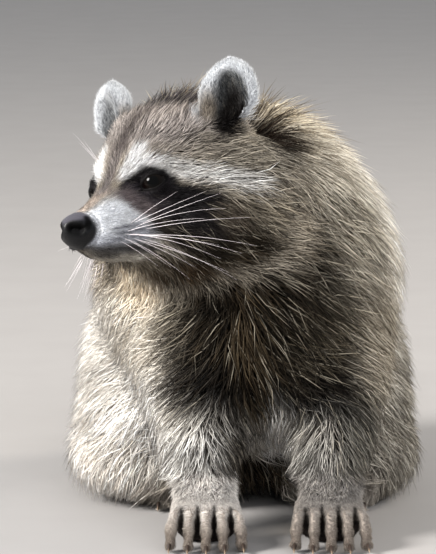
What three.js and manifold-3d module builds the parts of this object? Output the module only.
// A raccoon as a still, life-size model: it sits on its haunches with straight forelegs, arched
// fingers and the head turned to its right. Millimetres, +Z up, the chest faces -Y, +X is its left.
// The solids reach to the tips of the coat. Flesh is one smooth field of rounded bones and pads,
// meshed region by region and parted with thin cuts; eyes, nose, claws and ears are pieces of their own.
import * as THREE from "three";
import { mergeVertices } from "three/addons/utils/BufferGeometryUtils.js";
import Module from "manifold-3d";

const wasm = await Module();
wasm.setup();

// ---- driving dimensions -------------------------------------------------------------------------
const GAP = 0.3; // between two pieces that meet
const SLIVER = 0.9; // edges shorter than this are closed up after the cuts
const TURN_LIMIT = 0.3; // cosine of how far a face may turn as an edge closes up
const RIGHT = -1; // the animal's right side lies towards -X
const LEFT = 1;

const HEAD_YAW = 45; // degrees to its right
const HEAD_PITCH = 0.5; // nose up
const HEAD_ROLL = 12; // left ear up
const HEAD_PLACE = [-49, -34, 229]; // the middle between the ears' roots

const EYE_RADIUS = 7.4;
const EYE_PLACE = [40.5, 22.2, -24]; // forward, left, up in the head's frame
const NOSE_PLACE = [84, 0, -45.5];
const NOSE_RADII = [9.5, 10.6, 8.6];
const EAR_PLACE = [-1, 47, 14];
const EAR_RADII = [9, 18.5, 27.5];
const EAR_CUP_RADII = [9.5, 11.5, 19];
const EAR_RIM = 5; // where the rim is cut off, ahead of the ear's middle
const EAR_TURN = 0.24; // radians: the cup opens outwards
const EAR_OUTWARDS = 0.22;
const EAR_BACKWARDS = 0.2;
const HEAD_BOX = [[-170, -160, 125], [45, 50, 268]]; // space that holds the head's flesh

// Cells of the nets that mesh each region: small where the form turns quickly.
const HEAD_CELL = 8.8;
const NECK_CELL = 15.5;
const TRUNK_CELL = 18;
const FORELEG_CELL = 13;
const PAW_CELL = 8;
const HAUNCH_CELL = 18;
const FOOT_CELL = 11;
const TAIL_CELL = 16;

const BODY_X = -7; // the middle of the ribs
const PAW_X = { [RIGHT]: -30, [LEFT]: 41 }; // where each forepaw stands
const PAW_Y = -54;
const KNUCKLE_Y = -73;
const KNUCKLE_Z = 23;
const FINGER_TIP_Y = -97;
const FINGERS = 5;
const FINGER_PITCH = 8.6; // across the knuckles
const FINGER_SPLAY = 1.7; // more than that at the tips
const FINGER_RADIUS = 2.9;

const FOOT_X = { [RIGHT]: -41, [LEFT]: 46 };
const HAUNCH_SPREAD = 100; // from the middle to the outside of each haunch
const HEEL_Y = 98;
const TOE_Y = 32;
const TOES = 5;
const TOE_PITCH = 7.2;

const TAIL_ROOT = [-14, 212, 46];
const TAIL_LENGTH = 262;
const TAIL_BEND = 50; // how far the tip swings to the animal's left
const TAIL_RADIUS = 31;

// ---- fields: functions of x, y, z that are negative inside -----------------------------------------
function ball([cx, cy, cz], r) {
  return (x, y, z) => Math.hypot(x - cx, y - cy, z - cz) - r;
}

// A rounded bone: a straight run of balls from radius ra at a to radius rb at b.
function bone([ax, ay, az], ra, [bx, by, bz], rb) {
  const [dx, dy, dz] = [bx - ax, by - ay, bz - az];
  const length2 = dx * dx + dy * dy + dz * dz;
  return (x, y, z) => {
    const along = ((x - ax) * dx + (y - ay) * dy + (z - az) * dz) / length2;
    const t = Math.min(1, Math.max(0, along));
    return Math.hypot(x - ax - t * dx, y - ay - t * dy, z - az - t * dz) - ra - t * (rb - ra);
  };
}

// A pad: an ellipsoid with its radii along the axes of the frame that it is written in.
function pad([cx, cy, cz], [rx, ry, rz]) {
  return (x, y, z) => {
    const [u, v, w] = [(x - cx) / rx, (y - cy) / ry, (z - cz) / rz];
    const size = Math.hypot(u, v, w);
    const slope = Math.hypot(u / rx, v / ry, w / rz);
    return slope < 1e-6 ? -Math.min(rx, ry, rz) : (size * (size - 1)) / slope;
  };
}

// Joins shapes with a fillet about as wide as soft.
function blend(soft, ...shapes) {
  return (x, y, z) =>
    shapes.reduce((a, shape) => {
      const b = shape(x, y, z);
      const h = Math.max(0, soft - Math.abs(a - b)) / soft;
      return Math.min(a, b) - (h * h * soft) / 4;
    }, Infinity);
}

// Hollows a shape gently by another.
function hollow(soft, shape, dent) {
  return (x, y, z) => {
    const [a, b] = [shape(x, y, z), -dent(x, y, z)];
    const h = Math.max(0, soft - Math.abs(a - b)) / soft;
    return Math.max(a, b) + (h * h * soft) / 4;
  };
}

// The same shape on both sides of a frame's middle plane, where the second coordinate is 0.
function bothSides(shape) {
  return (x, y, z) => shape(x, Math.abs(y), z);
}

function inFrame(frame, shape) {
  const e = frame.clone().invert().elements;
  return (x, y, z) =>
    shape(
      e[0] * x + e[4] * y + e[8] * z + e[12],
      e[1] * x + e[5] * y + e[9] * z + e[13],
      e[2] * x + e[6] * y + e[10] * z + e[14],
    );
}

// ---- frames --------------------------------------------------------------------------------------
// The head's frame has its axes forward, left and up.
function headFrame() {
  const [yaw, pitch, roll] = [HEAD_YAW, HEAD_PITCH, HEAD_ROLL].map(THREE.MathUtils.degToRad);
  const looking = new THREE.Matrix4().makeRotationZ(-Math.PI / 2 - yaw);
  return new THREE.Matrix4()
    .makeTranslation(...HEAD_PLACE)
    .multiply(looking)
    .multiply(new THREE.Matrix4().makeRotationY(-pitch))
    .multiply(new THREE.Matrix4().makeRotationX(roll));
}

const HEAD = headFrame();
const inHead = (place) => new THREE.Vector3(...place).applyMatrix4(HEAD).toArray();

// ---- the flesh as one field ------------------------------------------------------------------------
function headShape() {
  const skull = pad([-6, 0, -22], [48, 45, 43]);
  const crown = pad([14, 0, -12], [32, 34, 27]);
  const bridge = bone([34, 0, -26], 19, [76, 0, -42], 9.5);
  const muzzle = bone([38, 0, -46], 20, [79, 0, -49], 11);
  const jaw = bone([14, 0, -58], 21, [68, 0, -60], 9);
  const brow = ball([34, 17, -15], 13);
  const cheek = pad([6, 30, -44], [34, 26, 29]);
  const ruff = pad([-20, 38, -36], [30, 28, 33]);
  const socket = pad([50, 31, -25], [9, 9, 8]);
  const earRoot = pad([-3, 43, -4], [12, 17, 16]);
  const face = blend(15, skull, crown, bridge, muzzle, jaw);
  const side = blend(14, cheek, ruff);
  return hollow(7, blend(12, face, bothSides(brow), bothSides(side), bothSides(earRoot)), bothSides(socket));
}

function trunkShape() {
  const neck = bone([-12, 18, 180], 58, [-40, -12, 198], 51);
  const mane = ball([6, -4, 182], 57);
  const withers = ball([-3, 50, 158], 79);
  const ribs = pad([-6, 46, 130], [94, 87, 92]);
  const breast = pad([0, -8, 132], [66, 64, 66]);
  const loin = pad([-9, 112, 116], [88, 84, 86]);
  const rump = pad([-12, 150, 78], [84, 84, 80]);
  const belly = pad([-5, 72, 56], [70, 74, 60]);
  return blend(26, neck, mane, withers, ribs, breast, loin, rump, belly);
}

function foreleg(side) {
  const x = PAW_X[side];
  const elbow = [x + 6 * side, -14, 92];
  return blend(
    16,
    bone([BODY_X + 42 * side, 4, 142], 42, elbow, 32),
    bone(elbow, 30, [x + 2 * side, -38, 46], 23),
    bone([x + 2 * side, -38, 46], 21, [x, -46, 26], 17),
    pad([x, PAW_Y, 13], [20, 19, 16]),
    bone([x - 14, KNUCKLE_Y + 3, KNUCKLE_Z - 3], 6, [x + 14, KNUCKLE_Y + 3, KNUCKLE_Z - 3], 6),
  );
}

function hindleg(side) {
  const x = FOOT_X[side];
  const outside = BODY_X + HAUNCH_SPREAD * side;
  return blend(
    18,
    pad([outside - 42 * side, 104, 68], [44, 88, 70]),
    pad([outside - 34 * side, 58, 50], [34, 56, 48]),
    pad([outside - 26 * side, 102, 22], [27, 78, 34]),
    bone([x + 2 * side, HEEL_Y, 12], 15, [x, TOE_Y + 14, 9], 13),
    pad([x, TOE_Y + 12, 9], [19, 22, 11]),
  );
}

// The tail's middle line lies along the floor: a fraction of its length gives the place.
function tailPlace(t) {
  const settle = Math.min(1, t / 0.22);
  const swing = TAIL_BEND * t * t;
  const height = TAIL_ROOT[2] + (TAIL_RADIUS - 2 - TAIL_ROOT[2]) * settle * (2 - settle);
  return [TAIL_ROOT[0] + swing, TAIL_ROOT[1] + TAIL_LENGTH * t * (1 - 0.03 * t), height - 7 * t ** 6];
}

function tailRadius(t) {
  return TAIL_RADIUS * (0.9 + 0.12 * Math.sin(Math.PI * t)) * (1 - 0.34 * t ** 5);
}

function tailShape() {
  const lengths = 8;
  const runs = Array.from({ length: lengths }, (_, i) => {
    const [t, next] = [i / lengths, (i + 1) / lengths].map((u) => u * 0.92);
    return bone(tailPlace(t), tailRadius(t), tailPlace(next), tailRadius(next));
  });
  return blend(8, ...runs);
}

const FLESH = blend(
  14,
  blend(22, trunkShape(), foreleg(RIGHT), foreleg(LEFT)),
  inFrame(HEAD, headShape()),
  hindleg(RIGHT),
  hindleg(LEFT),
  tailShape(),
);

// ---- meshing ---------------------------------------------------------------------------------------
// Turns a field into a closed mesh inside a box by a surface net: one point for each cell that the
// surface crosses, drawn to the surface, and one quad for each crossed edge of the grid.
function net(field, [low, high], cell) {
  const size = low.map((a, i) => Math.ceil((high[i] - a) / cell) + 1);
  const at = (i, j, k) => (k * size[1] + j) * size[0] + i;
  const value = new Float32Array(size[0] * size[1] * size[2]);
  for (let k = 0; k < size[2]; k++)
    for (let j = 0; j < size[1]; j++)
      for (let i = 0; i < size[0]; i++) {
        const rim = [i, j, k].some((n, axis) => n === 0 || n === size[axis] - 1);
        const here = field(low[0] + i * cell, low[1] + j * cell, low[2] + k * cell);
        value[at(i, j, k)] = rim ? Math.max(here, cell / 2) : here;
      }

  const points = [];
  const pointOf = new Map();
  for (let k = 0; k < size[2] - 1; k++)
    for (let j = 0; j < size[1] - 1; j++)
      for (let i = 0; i < size[0] - 1; i++) {
        const crossings = cellCrossings(value, at, i, j, k);
        if (!crossings.length) continue;
        const middle = [0, 1, 2].map(
          (axis) => crossings.reduce((sum, c) => sum + c[axis], 0) / crossings.length,
        );
        const inside = [i, j, k].every((n, axis) => n > 0 && n < size[axis] - 2);
        const place = middle.map((m, axis) => low[axis] + m * cell);
        pointOf.set(at(i, j, k), points.length);
        points.push(inside ? drawn(field, place, cell) : place);
      }

  const faces = [];
  const steps = [[1, 0, 0], [0, 1, 0], [0, 0, 1]];
  for (let k = 0; k < size[2] - 1; k++)
    for (let j = 0; j < size[1] - 1; j++)
      for (let i = 0; i < size[0] - 1; i++)
        for (const [axis, step] of steps.entries()) {
          const [a, b] = [value[at(i, j, k)], value[at(i + step[0], j + step[1], k + step[2])]];
          if (a < 0 === b < 0) continue;
          const [u, v] = [steps[(axis + 1) % 3], steps[(axis + 2) % 3]];
          const quad = [[0, 0], [1, 0], [1, 1], [0, 1]].map(([m, n]) =>
            pointOf.get(at(i - m * u[0] - n * v[0], j - m * u[1] - n * v[1], k - m * u[2] - n * v[2])),
          );
          faces.push(...splitQuad(points, a < 0 ? quad : quad.reverse()));
        }
  return geometryOf(points.flat(), faces);
}

// Where the surface crosses the twelve edges of a cell, in cells.
function cellCrossings(value, at, i, j, k) {
  const corner = (a, b, c) => value[at(i + a, j + b, k + c)];
  const found = [];
  for (let axis = 0; axis < 3; axis++)
    for (const [m, n] of [[0, 0], [1, 0], [0, 1], [1, 1]]) {
      const start = [0, 0, 0];
      start[(axis + 1) % 3] = m;
      start[(axis + 2) % 3] = n;
      const end = [...start];
      end[axis] = 1;
      const [a, b] = [corner(...start), corner(...end)];
      if (a < 0 === b < 0) continue;
      const place = [i + start[0], j + start[1], k + start[2]];
      place[axis] += a / (a - b);
      found.push(place);
    }
  return found;
}

// Moves a point down the field's slope to the surface, by less than half a cell.
function drawn(field, place, cell) {
  let [x, y, z] = place;
  const h = 0.2;
  for (let round = 0; round < 3; round++) {
    const here = field(x, y, z);
    const slope = [
      (field(x + h, y, z) - here) / h,
      (field(x, y + h, z) - here) / h,
      (field(x, y, z + h) - here) / h,
    ];
    const steep = slope.reduce((sum, s) => sum + s * s, 1e-9);
    const step = Math.max(-cell / 5, Math.min(cell / 5, here / Math.sqrt(steep))) / Math.sqrt(steep);
    [x, y, z] = [x - step * slope[0], y - step * slope[1], z - step * slope[2]];
  }
  return [x, y, z];
}

// Splits a quad along its shorter diagonal.
function splitQuad(points, [a, b, c, d]) {
  const apart = (m, n) => Math.hypot(...points[m].map((v, axis) => v - points[n][axis]));
  return apart(a, c) <= apart(b, d) ? [a, b, c, a, c, d] : [a, b, d, b, c, d];
}

function geometryOf(positions, faces) {
  const made = new THREE.BufferGeometry();
  made.setAttribute("position", new THREE.Float32BufferAttribute(positions, 3));
  made.setIndex(faces);
  return made;
}

const ROUNDED_END = 0.72; // how far a limb's last ring stands past its end, in radii

// A tapering limb along a list of places, round in section, with a rounded far end.
function taper(places, radii, sides = 6) {
  const line = places.map((p) => new THREE.Vector3(...p));
  const rings = [];
  line.forEach((middle, n) => {
    const ahead = line[Math.min(n + 1, line.length - 1)].clone();
    const along = ahead.sub(line[Math.max(n - 1, 0)]).normalize();
    const ends = n === line.length - 1 ? [0, ROUNDED_END] : [0];
    for (const shift of ends)
      rings.push({
        along,
        middle: middle.clone().addScaledVector(along, shift * radii[n]),
        radius: radii[n] * Math.sqrt(1 - shift ** 2),
      });
  });
  const positions = [];
  for (const { along, middle, radius } of rings) {
    const side = new THREE.Vector3(1, 0, 0).addScaledVector(along, -along.x).normalize();
    const up = new THREE.Vector3().crossVectors(along, side);
    for (let s = 0; s < sides; s++) {
      const turn = (2 * Math.PI * s) / sides;
      const out = side.clone().multiplyScalar(Math.cos(turn)).addScaledVector(up, Math.sin(turn));
      positions.push(...middle.clone().addScaledVector(out, radius).toArray());
    }
  }
  const faces = [];
  for (let r = 0; r < rings.length - 1; r++)
    for (let s = 0; s < sides; s++) {
      const [a, b] = [r * sides + s, r * sides + ((s + 1) % sides)];
      faces.push(a, b, b + sides, a, b + sides, a + sides);
    }
  const last = (rings.length - 1) * sides;
  for (let s = 1; s < sides - 1; s++) {
    faces.push(0, s + 1, s);
    faces.push(last, last + s, last + s + 1);
  }
  return geometryOf(positions, faces);
}

// Closes up slivers that the cuts leave: each edge shorter than SLIVER shrinks to one of its ends,
// wherever the surface stays closed and no face turns over.
function withoutSlivers(positions, faces) {
  const points = [];
  for (let i = 0; i < positions.length; i += 3) points.push(new THREE.Vector3().fromArray(positions, i));
  const triangles = [];
  const around = points.map(() => new Set());
  for (let i = 0; i < faces.length; i += 3) {
    const corners = [...faces.slice(i, i + 3)];
    triangles.push(corners);
    corners.forEach((corner) => around[corner].add(corners));
  }
  const normal = ([a, b, c]) =>
    points[b].clone().sub(points[a]).cross(points[c].clone().sub(points[a])).normalize();
  const neighbours = (n) => new Set([...around[n]].flat().filter((m) => m !== n));

  function shrink(from, to) {
    const near = neighbours(to);
    if ([...neighbours(from)].filter((n) => near.has(n)).length !== 2) return false;
    const kept = [...around[from]].filter((corners) => !corners.includes(to));
    const moved = kept.map((corners) => corners.map((n) => (n === from ? to : n)));
    if (kept.some((corners, i) => !(normal(corners).dot(normal(moved[i])) > TURN_LIMIT))) return false;
    const closed = [...around[from]].filter((corners) => corners.includes(to));
    closed.forEach((corners) => corners.forEach((n) => around[n].delete(corners)));
    kept.forEach((corners, i) => {
      corners.splice(0, 3, ...moved[i]);
      around[to].add(corners);
    });
    around[from].clear();
    return true;
  }

  for (let shrunk = true; shrunk; ) {
    shrunk = false;
    for (const n of points.keys())
      for (const m of neighbours(n))
        if (points[n].distanceTo(points[m]) < SLIVER && shrink(n, m)) {
          shrunk = true;
          break;
        }
  }
  const left = new Set(around.flatMap((set) => [...set]));
  return [...left].flatMap((corners) => corners.flatMap((n) => points[n].toArray()));
}

// ---- solids ----------------------------------------------------------------------------------------
function solid(geometry) {
  const bare = geometry.index ? geometry.toNonIndexed() : geometry.clone();
  bare.deleteAttribute("normal");
  bare.deleteAttribute("uv");
  const merged = mergeVertices(bare, 1e-4);
  const made = new wasm.Mesh({
    numProp: 3,
    vertProperties: new Float32Array(merged.attributes.position.array),
    triVerts: new Uint32Array(merged.index.array),
  });
  return new wasm.Manifold(made);
}

function ellipsoid(place, radii, frame = new THREE.Matrix4(), across = 10, round = 8) {
  const shape = new THREE.SphereGeometry(1, across, round);
  shape.scale(...radii).translate(...place).applyMatrix4(frame);
  return solid(shape);
}

const FAR = 1400; // longer than the animal
const FLOOR = [[0, 0, 1], [0, 0, 0]];

// The half of space that a plane's normal points to, less half a gap at the plane.
function beyond([normal, place], inset = GAP / 2) {
  const block = new THREE.BoxGeometry(FAR, FAR, FAR).translate(0, 0, FAR / 2 + inset);
  const turn = new THREE.Quaternion().setFromUnitVectors(
    new THREE.Vector3(0, 0, 1),
    new THREE.Vector3(...normal).normalize(),
  );
  block.applyQuaternion(turn).translate(...place);
  return solid(block);
}

const behind = ([normal, place], inset) => beyond([normal.map((n) => -n), place], inset);

// A box of space between two corners, for parting limbs from the trunk.
function block(low, high, grow = -GAP / 2) {
  const size = high.map((h, i) => h - low[i] + 2 * grow);
  const middle = high.map((h, i) => (h + low[i]) / 2);
  return solid(new THREE.BoxGeometry(...size).translate(...middle));
}

function flesh(box, cell, ...cuts) {
  const meshed = solid(net(FLESH, box, cell)).intersect(beyond(FLOOR, 0));
  return cuts.reduce((left, cut) => left.intersect(cut), meshed);
}

// The largest body of a solid, without stray crumbs that a cut leaves.
function main(made) {
  const bodies = made.decompose();
  return bodies.reduce((a, b) => (b.volume() > a.volume() ? b : a));
}

// ---- where the flesh is parted -----------------------------------------------------------------------
const inHeadAxis = (axis) => new THREE.Vector3(...axis).transformDirection(HEAD).toArray();
const HEAD_CUT = [inHeadAxis([0.86, 0, 0.5]), inHead([-26, 0, -36])];
const JAW_CUT = [inHeadAxis([-0.06, 0, 1]), inHead([30, 0, -82])];
const NECK_CUT = [[-0.5, -0.5, 0.7], [-10, 0, 184]];
const WAIST_CUT = [[0, -0.86, 0.5], [-8, 96, 110]];
const TAIL_CUTS = [0.12, 0.4, 0.7].map((t) => [[0.12, 1, 0], tailPlace(t)]);
const LEG_TOP = 94;
const WRIST = 31;
const LEG_BACK = -6;
const THIGH_X = { [RIGHT]: -48, [LEFT]: 40 };
const THIGH_TOP = 122;
const FOOT_TOP = 21;
const FOOT_BACK = 60;

const headBlock = (inset) => beyond(HEAD_CUT, inset).intersect(beyond(JAW_CUT, inset));

function sideBlock(side, inner, outer, [y0, z0], [y1, z1], grow) {
  const [a, b] = [inner, outer].sort((m, n) => m - n);
  return block([a, y0, z0], [b, y1, z1], grow);
}

function legBlock(side, grow) {
  const x = PAW_X[side];
  return block([x - 35, -125, -40], [x + 35, LEG_BACK, LEG_TOP], grow);
}

function thighBlock(side, grow) {
  return sideBlock(side, THIGH_X[side], side * 180, [-30, -40], [205, THIGH_TOP], grow);
}

function footBlock(side, grow) {
  const x = FOOT_X[side];
  return block([x - 25, -10, -40], [x + 23, FOOT_BACK, FOOT_TOP], grow);
}

// ---- materials --------------------------------------------------------------------------------------
const matte = (color, roughness = 0.85) =>
  new THREE.MeshStandardMaterial({ color, roughness, metalness: 0 });
const FACE_COAT = matte("#a39c90");
const BODY_COAT = matte("#85796a");
const PALE_COAT = matte("#b7b0a4");
const TAIL_COAT = matte("#7d7161");
const HAND_SKIN = matte("#8f877d");
const CLAW_HORN = matte("#3a2f28", 0.45);
const NOSE_LEATHER = matte("#1c1a1c", 0.4);
const EYE_GLASS = matte("#120d0a", 0.08);

// ---- pieces -----------------------------------------------------------------------------------------
const raccoon = new THREE.Group();

function piece(name, made, material) {
  const { numProp, vertProperties, triVerts } = main(made).getMesh();
  const positions = [];
  for (let i = 0; i < vertProperties.length; i += numProp)
    positions.push(...vertProperties.subarray(i, i + 3));
  const corners = withoutSlivers(positions, [...triVerts]);
  const bare = geometryOf(corners, [...Array(corners.length / 3).keys()]);
  const mesh = new THREE.Mesh(mergeVertices(bare, 1e-5), material);
  mesh.geometry.computeVertexNormals();
  mesh.name = name;
  raccoon.add(mesh);
}

const sideName = (side) => (side === LEFT ? "left" : "right");
const mirrored = ([f, l, u], side) => [f, l * side, u];

function addHead() {
  let head = flesh(HEAD_BOX, HEAD_CELL, headBlock());
  for (const side of [RIGHT, LEFT]) {
    const place = mirrored(EYE_PLACE, side);
    head = head.subtract(ellipsoid(place, Array(3).fill(EYE_RADIUS + GAP), HEAD));
    piece(`eye_${sideName(side)}`, ellipsoid(place, Array(3).fill(EYE_RADIUS), HEAD), EYE_GLASS);
    addEar(side);
  }
  head = head.subtract(ellipsoid(NOSE_PLACE, NOSE_RADII.map((r) => r + GAP), HEAD));
  piece("head", head, FACE_COAT);
  let nose = ellipsoid(NOSE_PLACE, NOSE_RADII, HEAD, 10, 7);
  for (const side of [RIGHT, LEFT]) {
    const nostril = mirrored([NOSE_PLACE[0] + 6.5, 5.2, NOSE_PLACE[2] - 0.6], side);
    nose = nose.subtract(ellipsoid(nostril, [5, 2.3, 2.6], HEAD, 6, 4));
  }
  piece("nose", nose, NOSE_LEATHER);
}

// An upright cup, open forwards and outwards, that stands on the crown.
function addEar(side) {
  const lean = new THREE.Matrix4()
    .makeTranslation(...mirrored(EAR_PLACE, side))
    .multiply(new THREE.Matrix4().makeRotationX(-side * EAR_OUTWARDS))
    .multiply(new THREE.Matrix4().makeRotationY(-EAR_BACKWARDS))
    .multiply(new THREE.Matrix4().makeRotationZ(side * EAR_TURN));
  const frame = HEAD.clone().multiply(lean);
  const inEar = (place) => new THREE.Vector3(...place).applyMatrix4(frame).toArray();
  const forwards = new THREE.Vector3(1, 0, 0).transformDirection(frame).toArray();
  const shell = ellipsoid([0, 0, 0], EAR_RADII, frame, 12, 8)
    .intersect(behind([forwards, inEar([EAR_RIM, 0, 0])], 0))
    .subtract(ellipsoid([EAR_RIM + 1, 0, 1], EAR_CUP_RADII, frame, 12, 8));
  const crown = solid(net((x, y, z) => FLESH(x, y, z) - 2 * GAP, HEAD_BOX, HEAD_CELL));
  piece(`ear_${sideName(side)}`, shell.subtract(crown), FACE_COAT);
}

function addTrunk() {
  const neck = flesh([[-150, -110, 60], [110, 120, 262]], NECK_CELL, beyond(NECK_CUT));
  const besideHaunches = neck.subtract(thighBlock(RIGHT, GAP / 2)).subtract(thighBlock(LEFT, GAP / 2));
  piece("neck", besideHaunches.subtract(headBlock(-GAP / 2)), BODY_COAT);
  const limbs = [RIGHT, LEFT].flatMap((side) =>
    [legBlock, thighBlock, footBlock].map((limbBlock) => limbBlock(side, GAP / 2)),
  );
  const box = [[-130, -110, -20], [130, 262, 262]];
  const whole = flesh(box, TRUNK_CELL, behind(NECK_CUT), behind(TAIL_CUTS[0]));
  const trunk = limbs.reduce((left, limb) => left.subtract(limb), whole.subtract(headBlock(-GAP / 2)));
  piece("chest", trunk.intersect(beyond(WAIST_CUT)), BODY_COAT);
  piece("hindquarters", trunk.intersect(behind(WAIST_CUT)), BODY_COAT);
}

function addForeleg(side) {
  const x = PAW_X[side];
  const box = [[x - 50, -115, -14], [x + 50, 10, LEG_TOP + 12]];
  const wrist = [[0, 0.35, 1], [x, PAW_Y, WRIST]];
  const knuckles = [[0, -0.86, -0.1], [x, KNUCKLE_Y, KNUCKLE_Z]];
  const leg = flesh(box, FORELEG_CELL, legBlock(side), beyond(wrist));
  const paw = flesh(box, PAW_CELL, legBlock(side), behind(wrist), behind(knuckles));
  piece(`foreleg_${sideName(side)}`, leg, BODY_COAT);
  piece(`forepaw_${sideName(side)}`, paw, PALE_COAT);
  for (let n = 0; n < FINGERS; n++) addFinger(side, n, knuckles);
}

// An arched finger from the knuckles to the floor. The middle fingers are the longest.
function addFinger(side, n, knuckles) {
  const x = PAW_X[side];
  const across = n - (FINGERS - 1) / 2;
  const reach = (FINGER_TIP_Y - KNUCKLE_Y) * (1 - 0.055 * across ** 2);
  const root = x + across * FINGER_PITCH;
  const along = (t, z, r) => [root + across * FINGER_SPLAY * t, KNUCKLE_Y + 4 + (reach - 4) * t, z, r];
  const joints = [
    along(-0.1, KNUCKLE_Z - 4.2, FINGER_RADIUS),
    along(0.3, KNUCKLE_Z - 3.9, FINGER_RADIUS),
    along(0.62, KNUCKLE_Z - 8.8, FINGER_RADIUS),
    along(0.92, 3, FINGER_RADIUS * 0.95),
  ];
  const tip = joints[3];
  const name = `${sideName(side)}_${n + 1}`;
  const clawFace = [[0, -0.94, -0.2], [tip[0], tip[1] - 1.6, tip[2]]];
  const finger = solid(taper(joints.map((j) => j.slice(0, 3)), joints.map((j) => j[3])))
    .intersect(beyond(FLOOR, 0))
    .intersect(beyond(knuckles))
    .intersect(behind(clawFace));
  piece(`finger_${name}`, finger, HAND_SKIN);
  piece(`fore_claw_${name}`, claw(tip, across * 0.09, 10.5).intersect(beyond(clawFace)), CLAW_HORN);
}

// A curved claw that grows out of a digit's tip and points down to the floor.
function claw([x, y, z], splay, length) {
  const steps = [-0.3, 0.3, 1];
  const height = (t) => Math.max(z + 1.2 - 2.8 * t * t, 0.9);
  const places = steps.map((t) => [x + splay * length * t, y - length * t, height(t)]);
  const radii = steps.map((t) => 2.1 * (1 - 0.78 * Math.max(t, 0)));
  return solid(taper(places, radii, 4)).intersect(beyond(FLOOR, 0));
}

function addHindleg(side) {
  const x = FOOT_X[side];
  const name = sideName(side);
  const [inner, outer] = [THIGH_X[side], side * 120].sort((m, n) => m - n);
  const box = [[inner - 20, -52, -20], [outer + 20, 225, 145]];
  const thigh = flesh(box, HAUNCH_CELL, thighBlock(side))
    .subtract(footBlock(side, GAP / 2))
    .subtract(legBlock(side, GAP / 2));
  piece(`haunch_${name}`, thigh, BODY_COAT);

  const toeFace = [[0, -1, -0.1], [x, TOE_Y - 6, 5]];
  const footBox = [[x - 45, -20, -12], [x + 50, FOOT_BACK + 12, FOOT_TOP + 12]];
  let foot = flesh(footBox, FOOT_CELL, footBlock(side), behind(toeFace, 0));
  foot = foot.subtract(legBlock(side, GAP / 2));
  for (let n = 0; n < TOES; n++) {
    const across = n - (TOES - 1) / 2;
    const front = TOE_Y - 17 * (1 - 0.06 * across ** 2);
    const root = x + across * TOE_PITCH;
    const tip = [root + across * 1.4, front, 3.1];
    const clawFace = [[0, -0.98, -0.1], [tip[0], tip[1] - 1.6, tip[2]]];
    const knuckle = [root + across * 0.6, TOE_Y - 7, 7.4];
    const toe = solid(taper([[root, TOE_Y + 4, 8], knuckle, tip], [4.4, 4, 3.3], 5));
    foot = foot.add(toe.intersect(beyond(FLOOR, 0)).intersect(behind(clawFace)));
    piece(`hind_claw_${name}_${n + 1}`, claw(tip, across * 0.07, 9).intersect(beyond(clawFace)), CLAW_HORN);
  }
  piece(`hindfoot_${name}`, foot, PALE_COAT);
}

function addTail() {
  const box = [[-70, 190, -20], [110, 520, 90]];
  const tail = flesh(box, TAIL_CELL);
  const names = ["tail_root", "tail_middle", "tail_tip"];
  names.forEach((name, n) => {
    const length = tail.intersect(beyond(TAIL_CUTS[n]));
    piece(name, TAIL_CUTS[n + 1] ? length.intersect(behind(TAIL_CUTS[n + 1])) : length, TAIL_COAT);
  });
}

addHead();
addTrunk();
for (const side of [RIGHT, LEFT]) {
  addForeleg(side);
  addHindleg(side);
}
addTail();

// The origin is on the floor, under the middle of the whole animal.
const around = new THREE.Box3().setFromObject(raccoon);
const middle = around.getCenter(new THREE.Vector3());
raccoon.children.forEach((mesh) => mesh.geometry.translate(-middle.x, -middle.y, 0));

export default raccoon;
